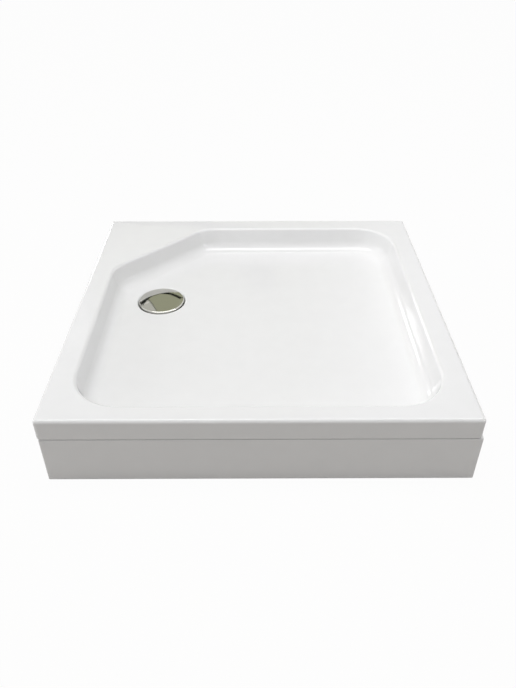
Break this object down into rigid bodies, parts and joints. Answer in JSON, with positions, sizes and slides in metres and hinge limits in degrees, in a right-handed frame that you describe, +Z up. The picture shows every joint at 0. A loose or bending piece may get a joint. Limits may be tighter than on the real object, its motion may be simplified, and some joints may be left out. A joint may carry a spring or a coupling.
{
  "type": "shower tray",
  "caption": "Square acrylic shower tray with a cut-corner basin, corner waste with domed cover and lift-out trap, steel frame on levelling feet and removable apron panels.",
  "frame": {"origin": "on the floor, under the middle of the tray", "axes": "+Z up, -Y out of the front apron, +X to the right seen from the front"},
  "size_m": [0.803, 0.8, 0.15],
  "materials": {
    "white_acrylic": "vacuum-formed, glossy",
    "white_panel": "vacuum-formed, glossy",
    "glass_fibre": "sprayed glass-fibre polyester, rough",
    "chipboard": "raw chipboard",
    "galvanised_steel": "hot-dip galvanised",
    "zinc_plated_steel": "bright zinc plate",
    "stainless_steel": "pressed stainless steel",
    "magnet": "sintered ferrite",
    "black_plastic": "moulded",
    "white_polypropylene": "moulded",
    "grey_polypropylene": "extruded pipe",
    "black_rubber": "moulded",
    "chrome_plate": "polished chrome plate"
  },
  "bodies": {
    "tray": {"tray_shell": "white_acrylic", "reinforcement_layer": "glass_fibre", "base_board": "chipboard", "front_frame_bar": "galvanised_steel", "rear_frame_bar": "galvanised_steel", "cross_frame_bar": "galvanised_steel", "bar_end_caps": "black_plastic", "frame_screws": "zinc_plated_steel", "weld_nuts": "zinc_plated_steel", "bracket_screws": "zinc_plated_steel", "panel_brackets": "galvanised_steel", "panel_magnets": "magnet", "trap_body": "white_polypropylene", "trap_outlet_nut": "white_polypropylene", "outlet_pipe": "grey_polypropylene", "outlet_washer": "black_rubber", "lower_seal": "black_rubber", "upper_seal": "black_rubber", "waste_flange": "stainless_steel", "flange_screws": "stainless_steel"},
    "front_apron": {"front_panel": "white_panel", "front_panel_plates": "zinc_plated_steel"},
    "left_apron": {"left_panel": "white_panel", "left_panel_plates": "zinc_plated_steel"},
    "right_apron": {"right_panel": "white_panel", "right_panel_plates": "zinc_plated_steel"},
    "waste_cover": {"dome_cover": "chrome_plate", "cover_clip": "white_polypropylene"},
    "trap_insert": {"dip_tube": "white_polypropylene", "dip_tube_ring": "black_rubber", "trap_cup": "white_polypropylene"},
    "foot_front_left": {"foot_pad_front_left": "black_plastic"},
    "bolt_front_left": {"foot_bolt_front_left": "zinc_plated_steel", "lock_nut_front_left": "zinc_plated_steel"},
    "foot_front_right": {"foot_pad_front_right": "black_plastic"},
    "bolt_front_right": {"foot_bolt_front_right": "zinc_plated_steel", "lock_nut_front_right": "zinc_plated_steel"},
    "foot_rear_left": {"foot_pad_rear_left": "black_plastic"},
    "bolt_rear_left": {"foot_bolt_rear_left": "zinc_plated_steel", "lock_nut_rear_left": "zinc_plated_steel"},
    "foot_rear_right": {"foot_pad_rear_right": "black_plastic"},
    "bolt_rear_right": {"foot_bolt_rear_right": "zinc_plated_steel", "lock_nut_rear_right": "zinc_plated_steel"},
    "foot_middle": {"foot_pad_middle": "black_plastic"},
    "bolt_middle": {"foot_bolt_middle": "zinc_plated_steel", "lock_nut_middle": "zinc_plated_steel"}
  },
  "joints": [
    {"name": "cover_lift", "type": "slide", "parent": "tray", "child": "waste_cover", "axis": [0, 0, 1], "range_m": [0, 0.2]},
    {"name": "trap_insert_lift", "type": "slide", "parent": "tray", "child": "trap_insert", "axis": [0, 0, 1], "range_m": [0, 0.1]},
    {"name": "front_panel_pull", "type": "slide", "parent": "tray", "child": "front_apron", "axis": [0, -1, 0], "range_m": [0, 0.12]},
    {"name": "left_panel_pull", "type": "slide", "parent": "tray", "child": "left_apron", "axis": [-1, 0, 0], "range_m": [0, 0.12]},
    {"name": "right_panel_pull", "type": "slide", "parent": "tray", "child": "right_apron", "axis": [1, 0, 0], "range_m": [0, 0.12]},
    {"name": "foot_front_left_travel", "type": "slide", "parent": "tray", "child": "foot_front_left", "axis": [0, 0, -1], "range_m": [0, 0.015]},
    {"name": "bolt_front_left_turn", "type": "hinge", "parent": "foot_front_left", "child": "bolt_front_left", "pos_m": [-0.325, -0.23, 0.04], "axis": [0, 0, -1], "range_deg": [0, 3600]},
    {"name": "foot_front_right_travel", "type": "slide", "parent": "tray", "child": "foot_front_right", "axis": [0, 0, -1], "range_m": [0, 0.015]},
    {"name": "bolt_front_right_turn", "type": "hinge", "parent": "foot_front_right", "child": "bolt_front_right", "pos_m": [0.325, -0.23, 0.04], "axis": [0, 0, -1], "range_deg": [0, 3600]},
    {"name": "foot_rear_left_travel", "type": "slide", "parent": "tray", "child": "foot_rear_left", "axis": [0, 0, -1], "range_m": [0, 0.015]},
    {"name": "bolt_rear_left_turn", "type": "hinge", "parent": "foot_rear_left", "child": "bolt_rear_left", "pos_m": [-0.325, 0.255, 0.04], "axis": [0, 0, -1], "range_deg": [0, 3600]},
    {"name": "foot_rear_right_travel", "type": "slide", "parent": "tray", "child": "foot_rear_right", "axis": [0, 0, -1], "range_m": [0, 0.015]},
    {"name": "bolt_rear_right_turn", "type": "hinge", "parent": "foot_rear_right", "child": "bolt_rear_right", "pos_m": [0.325, 0.255, 0.04], "axis": [0, 0, -1], "range_deg": [0, 3600]},
    {"name": "foot_middle_travel", "type": "slide", "parent": "tray", "child": "foot_middle", "axis": [0, 0, -1], "range_m": [0, 0.015]},
    {"name": "bolt_middle_turn", "type": "hinge", "parent": "foot_middle", "child": "bolt_middle", "pos_m": [0.02, 0.0125, 0.04], "axis": [0, 0, -1], "range_deg": [0, 3600]}
  ],
  "couplings": [
    {"joint": "trap_insert_lift", "follows": "cover_lift", "ratio": 0.5},
    {"joint": "bolt_front_left_turn", "follows": "foot_front_left_travel", "rad_per_m": 4188.8},
    {"joint": "bolt_front_right_turn", "follows": "foot_front_right_travel", "rad_per_m": 4188.8},
    {"joint": "bolt_rear_left_turn", "follows": "foot_rear_left_travel", "rad_per_m": 4188.8},
    {"joint": "bolt_rear_right_turn", "follows": "foot_rear_right_travel", "rad_per_m": 4188.8},
    {"joint": "bolt_middle_turn", "follows": "foot_middle_travel", "rad_per_m": 4188.8}
  ]
}
